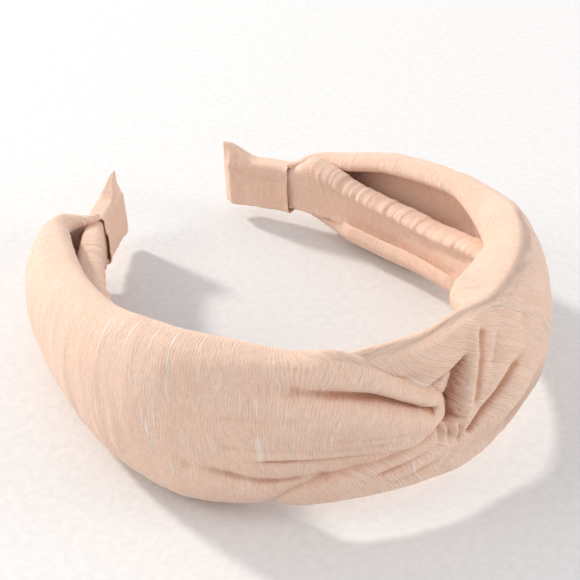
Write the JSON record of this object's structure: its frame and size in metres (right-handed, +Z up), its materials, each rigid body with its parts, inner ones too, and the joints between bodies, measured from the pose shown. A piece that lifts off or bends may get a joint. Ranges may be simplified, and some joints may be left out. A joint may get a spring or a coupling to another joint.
{
  "type": "knotted headband",
  "caption": "C-shaped sprung headband in a padded lining, with two gathered cloth sleeves looped into a knot over the crown.",
  "frame": {"origin": "centre of the box on the surface that the band lies on", "axes": "+Z up from the surface, knot towards -Y, tips towards +Y, left arm towards -X, right arm towards +X"},
  "size_m": [0.1426, 0.1633, 0.0502],
  "materials": {
    "core": "satin moulded plastic",
    "padding": "soft wadding",
    "lining": "gauzy crepe, drawn tight",
    "sleeve": "gauzy crepe with raised cross slubs",
    "tip_wrap": "gauzy crepe, folded",
    "glue": "set hot-melt glue"
  },
  "bodies": {
    "crown": {"core_crown": "core", "padding_crown": "padding", "lining_crown": "lining", "knot_left_loop": "sleeve", "knot_right_loop": "sleeve", "glue_knot": "glue"},
    "left_arm": {"core_left_arm": "core", "padding_left_arm": "padding", "lining_left_arm": "lining", "sleeve_left": "sleeve", "tip_wrap_left": "tip_wrap"},
    "right_arm": {"core_right_arm": "core", "padding_right_arm": "padding", "lining_right_arm": "lining", "sleeve_right": "sleeve", "tip_wrap_right": "tip_wrap"}
  },
  "joints": [
    {"name": "left_flex", "type": "hinge", "parent": "crown", "child": "left_arm", "pos_m": [-0.0196, -0.06558, 0.029], "axis": [0, 0.1115, 0.9938], "range_deg": [-6, 18], "stiffness_Nm_per_rad": 1},
    {"name": "right_flex", "type": "hinge", "parent": "crown", "child": "right_arm", "pos_m": [0.0196, -0.06558, 0.029], "axis": [0, -0.1115, -0.9938], "range_deg": [-6, 18], "stiffness_Nm_per_rad": 1}
  ]
}
